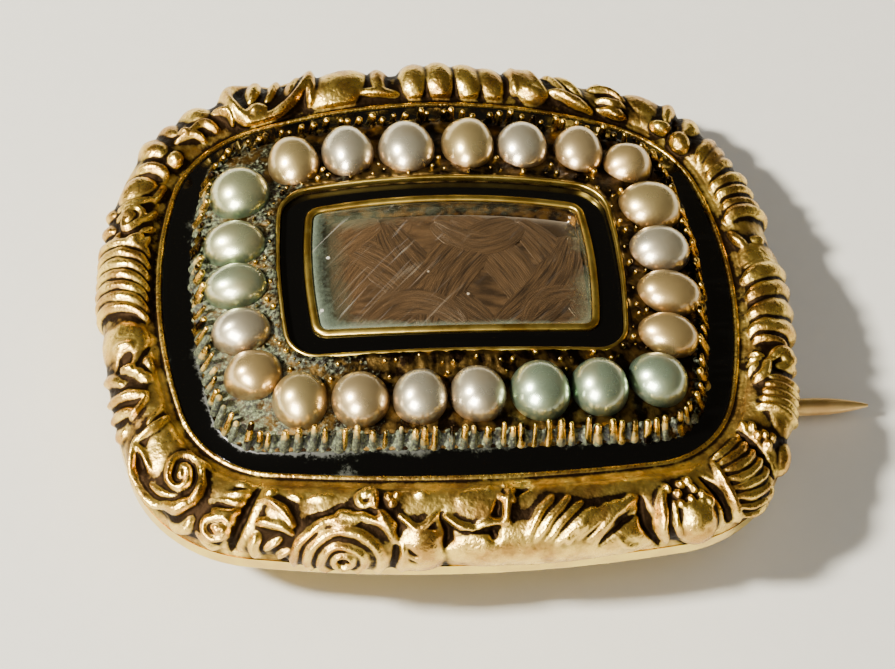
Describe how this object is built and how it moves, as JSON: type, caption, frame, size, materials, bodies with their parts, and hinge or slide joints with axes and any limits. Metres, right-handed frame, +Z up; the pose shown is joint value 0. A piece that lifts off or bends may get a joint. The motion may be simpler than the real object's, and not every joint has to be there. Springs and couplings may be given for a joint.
{
  "type": "mourning locket brooch with a hinged pin",
  "caption": "Small domed cushion-shaped gold locket brooch: chased scroll border, black enamel bands, half pearls, plaited hair under glass, hinged pin and hook catch.",
  "frame": {"origin": "middle of the underside of the case back", "axes": "+X along the length of the brooch, towards the point of its pin; +Y away from the viewer; +Z up, with the brooch lying on its hinge, its catch and the far edge of its back, so that the case leans back by about 7 degrees"},
  "size_m": [0.0264, 0.0203, 0.0063],
  "materials": {
    "chased_gold": "cast and chased, polished on its high places, with tarnish in its hollows",
    "plain_gold": "polished, lightly worn",
    "black_enamel": "fired and polished, glossy",
    "half_pearl": "natural nacre, lustrous",
    "clear_glass": "polished, scratched",
    "plaited_hair": "plaited human hair"
  },
  "bodies": {
    "case": {"case_back": "plain_gold", "chased_border": "chased_gold", "setting_plate": "plain_gold", "outer_enamel": "black_enamel", "inner_enamel": "black_enamel", "glass_cover": "clear_glass", "hair_panel": "plaited_hair", "hinge_rivet": "plain_gold", "pearl_01": "half_pearl", "pearl_02": "half_pearl", "pearl_03": "half_pearl", "pearl_04": "half_pearl", "pearl_05": "half_pearl", "pearl_06": "half_pearl", "pearl_07": "half_pearl", "pearl_08": "half_pearl", "pearl_09": "half_pearl", "pearl_10": "half_pearl", "pearl_11": "half_pearl", "pearl_12": "half_pearl", "pearl_13": "half_pearl", "pearl_14": "half_pearl", "pearl_15": "half_pearl", "pearl_16": "half_pearl", "pearl_17": "half_pearl", "pearl_18": "half_pearl", "pearl_19": "half_pearl", "pearl_20": "half_pearl", "pearl_21": "half_pearl", "pearl_22": "half_pearl", "pearl_23": "half_pearl"},
    "pin": {"pin_stem": "plain_gold"}
  },
  "joints": [
    {"name": "pin_swing", "type": "hinge", "parent": "case", "child": "pin", "pos_m": [-0.0086, -0.0031, -0.00056], "axis": [0, 0.992, -0.1266], "range_deg": [0, 100]}
  ]
}
